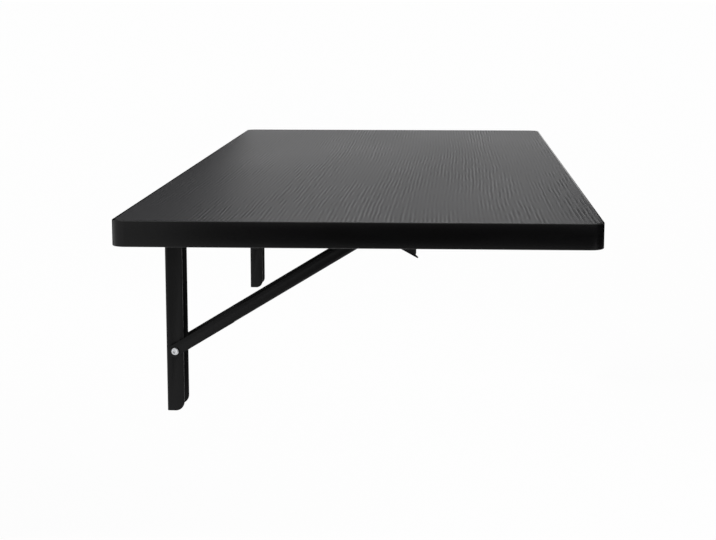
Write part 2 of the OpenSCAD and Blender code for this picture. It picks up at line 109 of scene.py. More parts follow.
# Radii of the dimple's mouth and floor, as shares of its own radius
DIMPLE_MOUTH_SHARE, DIMPLE_FLOOR_SHARE = 1.25, 0.8
# What is left of a lever rivet's flare at its closed end
FLARE_LEFT = 0.8
# A screw's pan head, from its crown to its rim: shares of the head's height and radius
PAN_HEAD = ((0.0, 0.55), (0.08, 0.70), (0.29, 0.86), (0.58, 0.95), (0.88, 1.0), (1.0, 1.0))
SCREW_TIP = 0.18

# Noises of the laminate's grain: waves per metre along each axis, and the pattern's shift
GRAIN_NOISES = {
    "drift": ((2.0, 0.35, 1.0), (0.0, 0.0, 0.0)),
    "figure": ((9.0, 1.6, 1.0), (7.1, 2.3, 0.0)),
    "waver": ((45.0, 8.0, 1.0), (0.0, 0.0, 0.0)),
    "flutter": ((170.0, 22.0, 1.0), (0.0, 0.0, 0.0)),
    "patch": ((15.0, 2.6, 1.0), (0.0, 5.7, 0.0)),
    "broken": ((130.0, 14.0, 1.0), (3.1, 0.0, 0.0)),
}
# How far, in metres, the noises bend the grain's lines
GRAIN_BENDS = {"drift": 0.035, "figure": 0.013, "waver": 0.0026, "flutter": 0.0016}


def material_colour(slot):
    """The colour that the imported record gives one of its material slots."""
    for entry in frame["record"]["materials"]:
        if entry["slot"] == slot:
            return tuple(entry["base_color"][:3])
    raise KeyError(slot)


def length(label, text, default):
    """A length that shows in the scene's units."""
    return FloatProperty(
        name=label, description=text, default=default, min=0.0, unit="LENGTH", precision=5
    )


def colour(label, text, default):
    """A colour with its swatch."""
    return FloatVectorProperty(
        name=label, description=text, default=default, size=3, min=0.0, max=1.0, subtype="COLOR"
    )


class BenchSizes(bpy.types.PropertyGroup):
    """Small sizes of the finished pieces that the CAD frame leaves plain."""

    seam: length("Seam", "Depth of the hairline between the laminate and the edge band", 0.00025)
    corner: length("Corner", "Radius of the worktop's corners, seen from above", 0.015)
    band: length("Band", "Thickness of the edge band", 0.0025)
    arris: length("Arris", "Radius of the edge band's upper and lower arrises", 0.001)
    running: length("Running fit", "Radial clearance between a pin and its hole", 0.00005)
    side_play: length("Side play", "Free space beside a part that turns", 0.00015)
    sheet: length("Sheet", "Thickness of the table arms' sheet", 0.002)
    sheet_edge: length(
        "Sheet edge", "Most rounding of the pressed sheet's edges; a part's least edge limits it",
        0.00045,
    )
    head_edge: length("Head edge", "Rounding of the rivets' and pins' heads", 0.0007)
    ring_edge: length("Ring edge", "Rounding of the thin washers and spacers", 0.00015)
    sleeve_edge: length("Sleeve edge", "Rounding of the sleeves' rims", 0.0004)
    hinge_shank: length("Hinge shank", "Radius of the main hinge pins", 0.003)
    hinge_head: length("Hinge head", "Height of the main hinge pins' heads", 0.002)
    strut_shank: length("Strut rivet shank", "Radius of the strut rivets", 0.0032)
    strut_head: length("Strut rivet head", "Height of the strut rivets' heads", 0.0016)
    dimple: length("Dimple", "Radius of the hollow in a strut rivet's head", 0.0013)
    lever_shank: length("Lever rivet shank", "Radius of the lever rivets", 0.0025)
    lever_head: length("Lever rivet head", "Height of the lever rivets' outer heads", 0.0014)
    lever_close: length("Lever rivet end", "Height of the lever rivets' closed ends", 0.0005)
    lever_flare: length("Lever rivet flare", "How far the closed ends spread", 0.0009)
    lip_drop: length("Lip drop", "Drop from a lever's pivot to its finger lip", 0.0045)
    screw_head: length("Screw head", "Radius of the worktop screws' heads", 0.0044)
    screw_height: length("Screw head height", "Height of the screws' heads", 0.0024)
    screw_shank: length("Screw shank", "Radius of the screws' shanks", 0.00225)
    screw_point: length("Screw point", "Length of the screws' points", 0.003)
    recess_reach: length("Recess reach", "Reach of the screws' cross recess", 0.0022)
    recess_width: length("Recess width", "Width of one slot of the recess", 0.0011)
    recess_depth: length("Recess depth", "Depth of the recess", 0.0014)
    screw_count: IntProperty(
        name="Screw count", description="Screws in each table arm", default=5, min=2, max=9
    )
    wire: length("Wire", "Radius of the lever spring's wire", 0.0006)
    coil: length("Coil", "Mean radius of the lever spring's coil", 0.004)
    coil_turns: IntProperty(
        name="Coil turns", description="Turns in the lever spring's coil", default=3, min=1, max=6
    )


class BenchFinish(bpy.types.PropertyGroup):
    """Colours and grain of the finishes."""

    laminate: colour("Laminate", "Black wood-grain laminate", (0.0188, 0.0188, 0.0198))
    laminate_rough: FloatProperty(
        name="Laminate roughness", description="Least roughness of the laminate", default=0.389,
        min=0.0, max=1.0,
    )
    band: colour("Band", "Black edge band", (0.0033, 0.0033, 0.0035))
    backing: colour("Backing", "Black backing sheet", (0.012, 0.012, 0.0125))
    coat: colour("Coat", "Black powder coat on the brackets", (0.0110, 0.0110, 0.0113))
    bright_zinc: colour("Bright zinc", "Zinc plate on the rivets", material_colour("bright_zinc"))
    dark_zinc: colour("Dark zinc", "Black zinc plate", (0.060, 0.060, 0.064))
    spring: colour("Spring", "Bare spring steel", material_colour("spring_steel"))
    nylon: colour("Nylon", "Black nylon rings", (0.018, 0.018, 0.018))
    core: colour("Core", "Raw particle board", material_colour("core_board"))
    grain_pitch: length("Grain pitch", "Distance between the grain's ridges", 0.0046)
    grain_depth: length("Grain depth", "Depth of the grain's emboss", 0.00015)


class BenchStage(bpy.types.PropertyGroup):
    """Camera, floor and soft light."""

    lens: FloatProperty(
        name="Lens", description="Focal length on a 36 mm sensor", default=82.42, min=10.0
    )
    yaw: FloatProperty(
        name="Yaw", description="Camera's turn to the left", default=radians(2.948),
        subtype="ANGLE", unit="ROTATION",
    )
    pitch: FloatProperty(
        name="Pitch", description="Camera's tilt downwards", default=radians(9.3095),
        subtype="ANGLE", unit="ROTATION",
    )
    roll: FloatProperty(
        name="Roll", description="Camera's turn about its own line of sight",
        default=radians(-0.0109), subtype="ANGLE", unit="ROTATION",
    )
    eye: FloatVectorProperty(
        name="Eye", description="Camera's place", default=(0.3103, -2.2306, 0.3661),
        subtype="TRANSLATION", unit="LENGTH",
    )
    floor_drop: length("Floor drop", "Height of the work surface above the floor", 0.9)
    backdrop: colour("Backdrop", "Colour of the floor and the studio", (1.0, 1.0, 1.0))
    ambient: FloatProperty(
        name="Ambient", description="Strength of the studio's even light", default=0.859, min=0.0
    )
    overhead: FloatProperty(
        name="Overhead", description="Power of the overhead softbox", default=59.1, min=0.0,
        unit="POWER",
    )
    floor_glow: FloatProperty(
        name="Floor glow", description="Share of the floor that shows as plain backdrop",
        default=0.965, min=0.0, max=1.0,
    )


# Shaders


class Wire:
    """A node's output that takes part in plain arithmetic, which adds Math nodes."""

    def __init__(self, recipe, socket):
        self.recipe = recipe
        self.socket = socket

    def maths(self, operation, *values):
        """One Math node over the values."""
        inputs = dict(enumerate(values))
        return self.recipe.node("ShaderNodeMath", {"operation": operation}, inputs)

    def __add__(self, other):
        return self.maths("ADD", self, other)

    __radd__ = __add__

    def __sub__(self, other):
        return self.maths("SUBTRACT", self, other)

    def __rsub__(self, other):
        return self.maths("SUBTRACT", other, self)

    def __mul__(self, other):
        return self.maths("MULTIPLY", self, other)

    __rmul__ = __mul__


class Recipe:
    """A node tree under construction, for a material or the world."""

    def __init__(self, tree):
        self.tree = tree
        tree.nodes.clear()

    def node(self, kind, settings=None, inputs=None, output=0):
        """Adds one node with its settings and its inputs' values or links; returns an output."""
        made = self.tree.nodes.new(kind)
        for key, value in (settings or {}).items():
            setattr(made, key, value)
        for key, value in (inputs or {}).items():
            self.feed(made.inputs[key], value)
        return Wire(self, made.outputs[output]) if len(made.outputs) else None

    def feed(self, socket, value):
        """Links a Wire to the socket, or sets the socket's own value."""
        if isinstance(value, Wire):
            self.tree.links.new(value.socket, socket)
        elif socket.type == "RGBA" and len(value) == 3:
            socket.default_value = (*value, 1.0)
        else:
            socket.default_value = value

    def place(self, waves, shift=(0.0, 0.0, 0.0)):
        """Object coordinates multiplied by waves along each axis, and shifted."""
        where = self.node("ShaderNodeTexCoord", output=OBJECT_COORDINATES)
        inputs = {"Vector": where, "Scale": waves, "Location": shift}
        return self.node("ShaderNodeMapping", None, inputs)

    def axis(self, number):
        """One of the object coordinates, in metres."""
        where = self.node("ShaderNodeTexCoord", output=OBJECT_COORDINATES)
        return self.node("ShaderNodeSeparateXYZ", None, {0: where}, output=number)

    def noise(self, waves, shift=(0.0, 0.0, 0.0), detail=1.0, roughness=0.5):
        """Noise from 0 to 1 with so many waves per metre along each axis."""
        inputs = {
            "Vector": self.place(waves, shift), "Scale": 1.0, "Detail": detail,
            "Roughness": roughness,
        }
        return self.node("ShaderNodeTexNoise", None, inputs)

    def spread(self, value, low, high, to_low=0.0, to_high=1.0):
        """Value from low to high spread smoothly over to_low to to_high."""
        inputs = {0: value, 1: low, 2: high, 3: to_low, 4: to_high}
        return self.node("ShaderNodeMapRange", {"interpolation_type": "SMOOTHSTEP"}, inputs)

    def blend(self, share, first, second):
        """Colour between first and second."""
        inputs = {0: share, 6: first, 7: second}
        return self.node("ShaderNodeMix", {"data_type": "RGBA"}, inputs, output=2)

    def shades(self, share, base, dark, light):
        """The base colour from its dark to its light multiple, as share goes from 0 to 1."""
        return self.blend(share, shade_of(base, dark), shade_of(base, light))

    def bump(self, height, distance):
        """Normals of a relief whose height from 0 to 1 covers distance, in metres."""
        inputs = {"Height": height, "Distance": distance, "Strength": 1.0}
        return self.node("ShaderNodeBump", None, inputs)

    def principled(self, **inputs):
        """The Principled shader, wired to the output. In its inputs' names _ stands for a space."""
        named = {key.replace("_", " "): value for key, value in inputs.items()}
        shader = self.node("ShaderNodeBsdfPrincipled", None, named)
        self.node("ShaderNodeOutputMaterial", None, {"Surface": shader})


def new_material(name):
    """An empty material and the recipe for its nodes."""
    material = bpy.data.materials.new(name)
    material.use_nodes = True
    return material, Recipe(material.node_tree)


def shade_of(base, factor):
    """A colour made lighter or darker."""
    return tuple(min(1.0, part * factor) for part in base)


def laminate_finish(finish):
    """Black laminate with an embossed ash grain that runs along the worktop."""
    material, mix = new_material("black wood-grain laminate")
    noises = {name: mix.noise(*pattern) for name, pattern in GRAIN_NOISES.items()}
    across, along = mix.axis(0), mix.axis(1)
    line = across
    for name, reach in GRAIN_BENDS.items():
        line = line + noises[name] * reach
    turns = line * (tau / finish.grain_pitch)
    ridge = turns.maths("SINE", turns)
    gathered = mix.spread(noises["patch"] - along * 0.09, 0.40, 0.62, 0.25, 1.0)
    calm = mix.spread(across, 0.0, 0.14, 0.40, 1.0)
    groove = ridge * gathered * calm * mix.spread(noises["broken"], 0.38, 0.60, 0.15, 1.1)
    pores = mix.noise((900.0, 26.0, 1.0), detail=2.0, roughness=0.6)
    mottle = mix.noise((5.0, 1.5, 1.0), detail=3.0)
    tone = groove * 0.46 + pores * 0.30 + 0.35
    mix.principled(
        Base_Color=mix.shades(tone, finish.laminate, 0.35, 1.65),
        Roughness=finish.laminate_rough + mottle * 0.08 - groove * 0.052,
        Specular_IOR_Level=0.324,
        Specular_Tint=(0.96, 0.96, 1.0, 1.0),
        Normal=mix.bump(groove + pores * 0.12, finish.grain_depth),
    )
    return material


def band_finish(finish):
    """Black satin plastic band, faintly brushed along its run."""
    material, mix = new_material("black edge band")
    cloud = mix.noise((6.0, 6.0, 30.0), detail=3.0)
    skin = mix.noise((420.0, 420.0, 900.0), detail=2.0)
    mix.principled(
        Base_Color=mix.shades(mix.spread(cloud, 0.3, 0.7), finish.band, 0.8, 1.25),
        Roughness=0.19 + cloud * 0.06 + skin * 0.04,
        Specular_IOR_Level=0.20,
        Normal=mix.bump(skin, 0.00003),
    )
    return material


def backing_finish(finish):
    """Matt black backing sheet with the print of the press plate."""
    material, mix = new_material("black backing sheet")
    cloud = mix.noise((9.0, 9.0, 9.0), detail=4.0)
    press = mix.noise((700.0, 700.0, 700.0), detail=2.0)
    mix.principled(
        Base_Color=mix.shades(cloud, finish.backing, 0.8, 1.3),
        Roughness=0.52 + cloud * 0.12,
        Specular_IOR_Level=0.3,
        Normal=mix.bump(press, 0.00004),
    )
    return material


def coat_finish(finish):
    """Satin black powder coat with its fine orange peel."""
    material, mix = new_material("black powder coat")
    peel = mix.noise((520.0, 520.0, 520.0), detail=2.0)
    speck = mix.noise((1900.0, 1900.0, 1900.0))
    cloud = mix.noise((14.0, 14.0, 14.0), detail=3.0)
    mix.principled(
        Base_Color=mix.shades(cloud, finish.coat, 0.8, 1.25),
        Roughness=0.36 + cloud * 0.08 + speck * 0.06,
        Specular_IOR_Level=0.12,
        Normal=mix.bump(peel * 0.8 + speck * 0.2, 0.00005),
    )
    return material


def zinc_finish(name, base, roughness):
    """Zinc plate with faint turning marks and clouds."""
    material, mix = new_material(name)
    cloud = mix.noise((240.0, 240.0, 240.0), detail=3.0)
    marks = mix.noise((2600.0, 300.0, 2600.0), detail=2.0)
    mix.principled(
        Base_Color=mix.shades(mix.spread(cloud, 0.3, 0.7), base, 0.82, 1.08),
        Metallic=1.0,
        Roughness=roughness + cloud * 0.10 + marks * 0.05,
        Normal=mix.bump(marks, 0.00001),
    )
    return material


def nylon_finish(finish):
    """Black moulded nylon."""
    material, mix = new_material("black nylon")
    skin = mix.noise((800.0, 800.0, 800.0), detail=2.0)
    mix.principled(
        Base_Color=mix.shades(skin, finish.nylon, 0.8, 1.3),
        Roughness=0.48 + skin * 0.08,
        Specular_IOR_Level=0.35,
        Normal=mix.bump(skin, 0.00002),
    )
    return material


def core_finish(finish):
    """Particle board: pressed chips of several browns."""
    material, mix = new_material("particle board core")
    inputs = {"Vector": mix.place((260.0, 160.0, 420.0)), "Scale": 1.0}
    chips = mix.node("ShaderNodeTexVoronoi", None, inputs, output=1)
    tone = mix.node("ShaderNodeSeparateColor", None, {0: chips})
    dust = mix.noise((900.0, 900.0, 900.0), detail=3.0)
    mix.principled(
        Base_Color=mix.shades(tone * 0.7 + dust * 0.3, finish.core, 0.6, 1.4),
        Roughness=0.75 + dust * 0.15,
        Normal=mix.bump(tone * 0.6 + dust * 0.4, 0.0003),
    )
    return material


def finish_named(name):
    """The finish of that name, made once."""
    made = bpy.data.materials.get(name)
    if made:
        return made
    finish = bpy.context.scene.bench_finish
    makers = {
        "black wood-grain laminate": lambda: laminate_finish(finish),
        "black edge band": lambda: band_finish(finish),
        "black backing sheet": lambda: backing_finish(finish),
        "black powder coat": lambda: coat_finish(finish),
        "bright zinc": lambda: zinc_finish("bright zinc", finish.bright_zinc, 0.22),
        "black zinc": lambda: zinc_finish("black zinc", finish.dark_zinc, 0.30),
        "spring steel": lambda: zinc_finish("spring steel", finish.spring, 0.20),
        "black nylon": lambda: nylon_finish(finish),
        "particle board core": lambda: core_finish(finish),
    }
    return makers[name]()


# Modelling


def choose(obj):
    """Leaves obj alone selected and active, in object mode."""
    if bpy.context.object and bpy.context.object.mode != "OBJECT":
        bpy.ops.object.mode_set(mode="OBJECT")
    bpy.ops.object.select_all(action="DESELECT")
    obj.select_set(True)
    bpy.context.view_layer.objects.active = obj


def start_primitive(add, name, **settings):
    """Adds a primitive with nothing else selected and names it."""
    bpy.ops.object.select_all(action="DESELECT")
    add(**settings)
    bpy.context.object.name = name
    return bpy.context.object


def settle(obj):
    """Puts the object's place, turn and scale into its mesh."""
    choose(obj)
    bpy.ops.object.transform_apply(location=True, rotation=True, scale=True)


def tidy_mesh(obj):
    """Merges doubles and turns every face outwards."""
    choose(obj)
    bpy.ops.object.mode_set(mode="EDIT")
    bpy.ops.mesh.select_all(action="SELECT")
    bpy.ops.mesh.remove_doubles(threshold=MERGE / 10)
    bpy.ops.mesh.normals_make_consistent(inside=False)
    bpy.ops.object.mode_set(mode="OBJECT")
    return obj


def pick(obj, kind, test):
    """In edit mode, selects the faces or edges that pass the test.

    The test gets their middle, and a face's normal or an edge's direction.
    """
    bpy.ops.mesh.select_all(action="DESELECT")
    bpy.ops.mesh.select_mode(type="FACE" if kind == "faces" else "EDGE")
    mesh = bmesh.from_edit_mesh(obj.data)
    if kind == "faces":
        for face in mesh.faces:
            face.select_set(test(face.calc_center_median(), face.normal))
    else:
        for edge in mesh.edges:
            first, last = (vert.co for vert in edge.verts)
            edge.select_set(test((first + last) / 2, (last - first).normalized()))
    bmesh.update_edit_mesh(obj.data)


def apply_modifier(obj, kind, **settings):
    """Adds a modifier, sets it and applies it."""
    choose(obj)
    modifier = obj.modifiers.new(kind.title(), kind)
    for key, value in settings.items():
        setattr(modifier, key, value)
    bpy.ops.object.modifier_apply(modifier=modifier.name)


def smooth(obj, angle=FOLD):
    """Shades the curved faces smooth and keeps the folds crisp."""
    choose(obj)
    bpy.ops.object.shade_smooth_by_angle(angle=radians(angle))
    return obj


def copied(obj, name, matrix):
    """A copy of the object with a mesh of its own, moved or mirrored by matrix."""
    choose(obj)
    bpy.ops.object.duplicate(linked=False)
    twin = bpy.context.object
    twin.name = name
    twin.data.transform(matrix)
    if matrix.determinant() < 0:
        bpy.ops.object.mode_set(mode="EDIT")
        bpy.ops.mesh.select_all(action="SELECT")
        bpy.ops.mesh.flip_normals()
        bpy.ops.object.mode_set(mode="OBJECT")
    return twin


def mirrored(obj, name, plane=0.0):
    """A piece's twin behind the plane at that Y, by default the bench's own middle."""
    flip = Matrix.Scale(-1.0, 4, Vector((0.0, 1.0, 0.0)))
    return copied(obj, name, Matrix.Translation((0.0, 2 * plane, 0.0)) @ flip)


def joined(objects, name):
    """One object from several."""
    choose(objects[0])
    for obj in objects:
        obj.select_set(True)
    bpy.ops.object.join()
    bpy.context.object.name = name
    return bpy.context.object


def lathe(name, profile, centre, direction=(0.0, 1.0, 0.0), hollow=False, sides=TURNED_SIDES):
    """Turns a piece: each pair in profile is a distance along direction and a radius.

    A solid piece starts and ends with a flat face, and a hollow one's last ring is its first.
    """
    station, radius = profile[0]
    obj = start_primitive(
        bpy.ops.mesh.primitive_circle_add, name, vertices=sides, radius=radius,
        fill_type="NOTHING" if hollow else "NGON", location=(0.0, 0.0, station),
    )
    settle(obj)
    bpy.ops.object.mode_set(mode="EDIT")
    bpy.ops.mesh.select_all(action="SELECT")
    for next_station, next_radius in profile[1:]:
        bpy.ops.mesh.extrude_region_move(
            TRANSFORM_OT_translate={"value": (0.0, 0.0, next_station - station)}
        )
        share = next_radius / radius
        bpy.ops.transform.resize(
            value=(share, share, 1.0), center_override=(0.0, 0.0, next_station)
        )
        station, radius = next_station, next_radius
    bpy.ops.object.mode_set(mode="OBJECT")
    obj.rotation_mode = "QUATERNION"
    obj.rotation_quaternion = Vector((0.0, 0.0, 1.0)).rotation_difference(Vector(direction))
    obj.location = centre
    settle(obj)
    return tidy_mesh(obj)


def dome(face, height, radius, rounding, dimple=0.0, step=1):
    """Profile of a rivet's head from its shank side outwards, or inwards for step -1."""
    rings = [(0.0, radius), (height - rounding, radius)]
    for share in HEAD_RINGS:
        angle = share * pi / 2
        rings.append((height - rounding * (1 - sin(angle)), radius - rounding * (1 - cos(angle))))
    if dimple:
        rings += [
            (height, dimple * DIMPLE_MOUTH_SHARE), (height - DIMPLE_LIP, dimple),
            (height - DIMPLE_FLOOR, dimple * DIMPLE_FLOOR_SHARE),
        ]
    rings.append((rings[-1][0], HEAD_MIDDLE))
    placed = [(face + station * step, ring) for station, ring in rings]
    return placed if step > 0 else placed[::-1]


def ring_profile(start, end, outer, inner, rounding):
    """Closed profile of a washer, spacer or sleeve with rounded rims."""
    return [
        (start, inner + rounding), (start, outer - rounding), (start + rounding, outer),
        (end - rounding, outer), (end, outer - rounding), (end, inner + rounding),
        (end - rounding, inner), (start + rounding, inner), (start, inner + rounding),
    ]


def centre_of(node):
    """Middle of a CAD node's box."""
    low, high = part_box(node)
    return (low + high) / 2


def half_of(node):
    """Half the size of a CAD node's box along X, Y and Z."""
    low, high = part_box(node)
    return [(top - bottom) / 2 for bottom, top in zip(low, high)]


def block(node, name):
    """A block that fills a CAD node's box, in edit mode."""
    low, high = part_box(node)
    obj = start_primitive(
        bpy.ops.mesh.primitive_cube_add, name, size=1.0, location=(low + high) / 2,
        scale=high - low,
    )
    settle(obj)
    bpy.ops.object.mode_set(mode="EDIT")
    return obj


def headed_pin(node, height, shank, rounding, dimple=0.0):
    """A pin with a head at each end, turned to the size of its CAD node."""
    half, head = half_of(node)[1:]
    face = half - height
    profile = (
        dome(-face, height, head, rounding, dimple, step=-1)
        + [(-face, shank), (face, shank)]
        + dome(face, height, head, rounding, dimple)
    )
    return smooth(lathe(f"{node}_turned", profile, centre_of(node)))


def on_outline(point, low, high, radius, slack):
    """Whether a point lies, seen from above, on the outline of a box with rounded corners."""
    near_x = min(max(point.x, low.x + radius), high.x - radius)
    near_y = min(max(point.y, low.y + radius), high.y - radius)
    return hypot(point.x - near_x, point.y - near_y) > radius - slack


def rounded_sheet(node, name, rounding):
    """A pressed part from its CAD solid, merged and with its flat faces whole.

    Its edges are rounded as far as the least of them lets them, which is a few hundredths of a
    millimetre on the arms and struts.
    """
    obj = bpy.data.objects.new(name, frame["nodes"][node].data.copy())
    bpy.context.scene.collection.objects.link(obj)
    obj.data.materials.clear()
    choose(obj)
    bpy.ops.object.mode_set(mode="EDIT")
    bpy.ops.mesh.select_all(action="SELECT")
    bpy.ops.mesh.remove_doubles(threshold=MERGE)
    bpy.ops.mesh.dissolve_limited(angle_limit=radians(FLAT))
    bpy.ops.object.mode_set(mode="OBJECT")
    bpy.ops.mesh.customdata_custom_splitnormals_clear()
    apply_modifier(
        obj, "BEVEL", width=rounding, segments=2, limit_method="ANGLE",
        angle_limit=radians(FOLD), use_clamp_overlap=True, miter_outer="MITER_ARC",
    )
    return smooth(obj)


def hand_over(obj, body, finish, node):
    """Gives a finished piece its finish and its body, and hides the CAD node that it stands for."""
    obj.data.materials.clear()
    obj.data.materials.append(finish_named(finish))
    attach(obj, body)
    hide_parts(node)


def refinish(node, finish):
    """A better finish on a CAD node whose shape is right."""
    for entry in frame["nodes"][node].material_slots:
        entry.material = finish_named(finish)


# Operators


class BenchOperator(bpy.types.Operator):
    """Shared part of the bench's operators."""

    bl_options = {"REGISTER", "UNDO"}

    def execute(self, context):
        self.make(context.scene.bench_sizes)
        bpy.ops.object.select_all(action="DESELECT")
        return {"FINISHED"}


class BENCH_OT_laminate(BenchOperator):
    """Model the wood-grain laminate of the worktop, a hairline short of the band"""

    bl_idname = "bench.laminate"
    bl_label = "Laminate"

    def make(self, sizes):
        low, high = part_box("worktop_laminate")
        radius = sizes.corner - sizes.band
        obj = block("worktop_laminate", "worktop_surface")
        pick(obj, "edges", lambda middle, along: abs(along.z) > UPRIGHT)
        bpy.ops.mesh.bevel(offset=radius, segments=10, affect="EDGES")
        pick(obj, "faces", lambda middle, normal: normal.z > UPRIGHT)
        bpy.ops.mesh.inset(thickness=sizes.seam)
        pick(obj, "edges", lambda middle, along: middle.z > high.z - MERGE
             and on_outline(middle, low, high, radius, sizes.seam / 4))
        bpy.ops.transform.translate(value=(0.0, 0.0, -sizes.seam))
        bpy.ops.object.mode_set(mode="OBJECT")
        smooth(tidy_mesh(obj))
        finish = "black wood-grain laminate"
        hand_over(obj, "table", finish, "worktop_laminate")


class BENCH_OT_edge_band(BenchOperator):
    """Model the band round the worktop's edges, with its rounded arrises"""

    bl_idname = "bench.edge_band"
    bl_label = "Edge band"

    def make(self, sizes):
        low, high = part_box("edge_band")
        obj = block("edge_band", "worktop_band")
        pick(obj, "edges", lambda middle, along: abs(along.z) > UPRIGHT)
        bpy.ops.mesh.bevel(offset=sizes.corner, segments=12, affect="EDGES")
        pick(obj, "faces", lambda middle, normal: abs(normal.z) > UPRIGHT)
        bpy.ops.mesh.inset(thickness=sizes.band)
        bpy.ops.mesh.bridge_edge_loops()
        pick(obj, "edges", lambda middle, along: abs(along.z) < LEVEL
             and on_outline(middle, low, high, sizes.corner, 10 * MERGE))
        bpy.ops.mesh.bevel(offset=sizes.arris, segments=4, affect="EDGES", clamp_overlap=True)
        bpy.ops.object.mode_set(mode="OBJECT")
        smooth(tidy_mesh(obj), angle=40.0)
        hand_over(obj, "table", "black edge band", "edge_band")


class BENCH_OT_backing(BenchOperator):
    """Give the worktop's backing sheet and core board their finishes"""

    bl_idname = "bench.backing"
    bl_label = "Backing and core"

    def make(self, sizes):
        refinish("worktop_backing", "black backing sheet")
        refinish("worktop_core", "particle board core")


class BENCH_OT_pressed_arms(BenchOperator):
    """Dress the pressed wall arms, table arms and struts, their edges slightly rounded"""

    bl_idname = "bench.pressed_arms"
    bl_label = "Pressed arms and struts"

    def make(self, sizes):
        for part, body in (("wall_arm", "wall_frame"), ("table_arm", "table"), ("strut", None)):
            for side in SIDES:
                node = f"{part}_{side}"
                piece = rounded_sheet(node, f"{node}_sheet", sizes.sheet_edge)
                hand_over(piece, body or node, "black powder coat", node)


class BENCH_OT_release_levers(BenchOperator):
    """Dress the two release levers with their finger lips"""

    bl_idname = "bench.release_levers"
    bl_label = "Release levers"

    def make(self, sizes):
        for side in SIDES:
            node = f"release_lever_{side}"
            piece = rounded_sheet(node, f"{node}_plate", sizes.sheet_edge)
            hand_over(piece, node, "black powder coat", node)


class BENCH_OT_hinge_pins(BenchOperator):
    """Turn the main hinge pins with their flat heads"""

    bl_idname = "bench.hinge_pins"
    bl_label = "Hinge pins"

    def make(self, sizes):
        rounding = sizes.head_edge * HINGE_HEAD_SOFTER
        near = headed_pin("hinge_pin_near", sizes.hinge_head, sizes.hinge_shank, rounding)
        far = mirrored(near, "hinge_pin_far_turned")
        for side, piece in zip(SIDES, (near, far)):
            hand_over(piece, "wall_frame", "black zinc", f"hinge_pin_{side}")


class BENCH_OT_strut_rivets(BenchOperator):
    """Turn the bright rivets at the struts' lower pivots, hollow in the middle of each head"""

    bl_idname = "bench.strut_rivets"
    bl_label = "Strut rivets"

    def make(self, sizes):
        near = headed_pin(
            "strut_rivet_near", sizes.strut_head, sizes.strut_shank, sizes.head_edge,
            sizes.dimple,
        )
        far = mirrored(near, "strut_rivet_far_turned")
        for side, piece in zip(SIDES, (near, far)):
            hand_over(piece, "wall_frame", "bright zinc", f"strut_rivet_{side}")


class BENCH_OT_rings(BenchOperator):
    """Turn the nylon spacers, washers and sleeves"""

    bl_idname = "bench.rings"
    bl_label = "Spacers, washers and sleeves"

    def make(self, sizes):
        arm_inside, arm_outside = (corner.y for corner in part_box("wall_arm_far"))
        bracket_middle = (arm_inside + arm_outside) / 2
        for node, name, shank in (("hinge_spacers", "hinge_spacer_rings", sizes.hinge_shank),
                                  ("strut_washers", "strut_washer_rings", sizes.strut_shank)):
            outer, end, middle = half_of(node)[2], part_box(node)[1].y, centre_of(node)
            bore = shank + sizes.running
            profile = ring_profile(arm_outside, end, outer, bore, sizes.ring_edge)
            first = smooth(lathe(name, profile, (middle.x, 0.0, middle.z), hollow=True))
            inner = mirrored(first, name + "_inner", bracket_middle)
            pair = joined([first, inner], name)
            piece = joined([pair, mirrored(pair, name + "_near")], name)
            hand_over(piece, "wall_frame", "black nylon", node)
        for side in SIDES:
            node = f"slide_sleeve_{side}"
            half, outer = half_of(node)[1:]
            bore = half_of(f"slide_pin_{side}")[2] + sizes.running
            profile = ring_profile(-half, half, outer, bore, sizes.sleeve_edge)
            piece = smooth(lathe(f"{node}_ring", profile, centre_of(node), hollow=True))
            hand_over(piece, f"strut_{side}", "black nylon", node)


class BENCH_OT_slide_pins(BenchOperator):
    """Turn the struts' upper pins with chamfered ends"""

    bl_idname = "bench.slide_pins"
    bl_label = "Slide pins"

    def make(self, sizes):
        for side in SIDES:
            node = f"slide_pin_{side}"
            half, radius = half_of(node)[1:]
            bevel = sizes.head_edge
            profile = [(-half, radius - bevel), (bevel - half, radius),
                       (half - bevel, radius), (half, radius - bevel)]
            piece = smooth(lathe(f"{node}_turned", profile, centre_of(node)), angle=25.0)
            hand_over(piece, f"strut_{side}", "bright zinc", node)


class BENCH_OT_lever_rivets(BenchOperator):
    """Turn the release levers' pivot rivets"""

    bl_idname = "bench.lever_rivets"
    bl_label = "Lever rivets"

    def make(self, sizes):
        head = half_of("lever_rivets")[2]
        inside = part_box("table_arm_near")[0].y + sizes.sheet
        closed = inside + sizes.lever_close
        shank = sizes.lever_shank
        head_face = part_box("lever_rivets")[0].y + sizes.lever_head
        profile = (
            dome(head_face, sizes.lever_head, head, sizes.head_edge, step=-1)
            + [(head_face, shank), (inside, shank), (inside, shank + sizes.lever_flare),
               (closed, shank + sizes.lever_flare * FLARE_LEFT)]
        )
        middle = centre_of("lever_rivets")
        near = smooth(lathe("lever_rivet_pair", profile, (middle.x, 0.0, middle.z)))
        piece = joined([near, mirrored(near, "lever_rivet_far")], "lever_rivet_pair")
        hand_over(piece, "table", "bright zinc", "lever_rivets")


